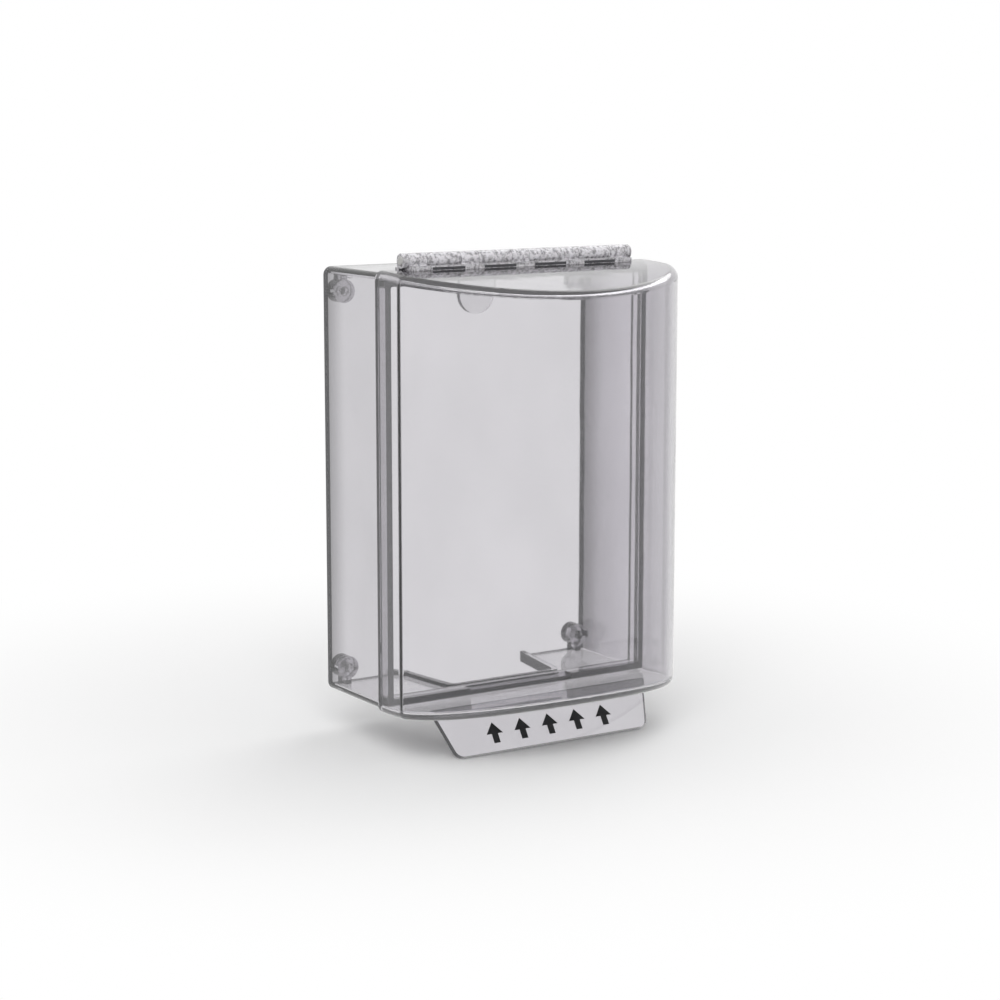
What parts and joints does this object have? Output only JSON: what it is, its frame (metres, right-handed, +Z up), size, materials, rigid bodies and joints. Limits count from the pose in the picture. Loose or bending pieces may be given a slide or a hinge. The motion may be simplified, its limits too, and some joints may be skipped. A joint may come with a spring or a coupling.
{
  "type": "lift-up wall guard",
  "caption": "Clear wall-mounted guard for a thermostat: open box frame with a bowed cover that lifts on a top hinge by a lower tab.",
  "frame": {"origin": "centre of the four wall screws, on the wall plane", "axes": "+Z up, +Y into the wall, +X to the right of someone facing the guard"},
  "size_m": [0.153, 0.115, 0.2326],
  "materials": {
    "clear_polycarbonate": "clear, polished",
    "natural_nylon": "extruded rod, satin"
  },
  "bodies": {
    "frame": {"wall_frame": "clear_polycarbonate", "frame_hinge_leaf": "clear_polycarbonate", "hinge_pin": "natural_nylon"},
    "cover": {"cover_dome": "clear_polycarbonate", "cover_hinge_leaf": "clear_polycarbonate", "lift_tab": "clear_polycarbonate"}
  },
  "joints": [
    {"name": "cover_hinge", "type": "hinge", "parent": "frame", "child": "cover", "pos_m": [0, -0.0518, 0.1075], "axis": [-1, 0, 0], "range_deg": [0, 150]}
  ]
}
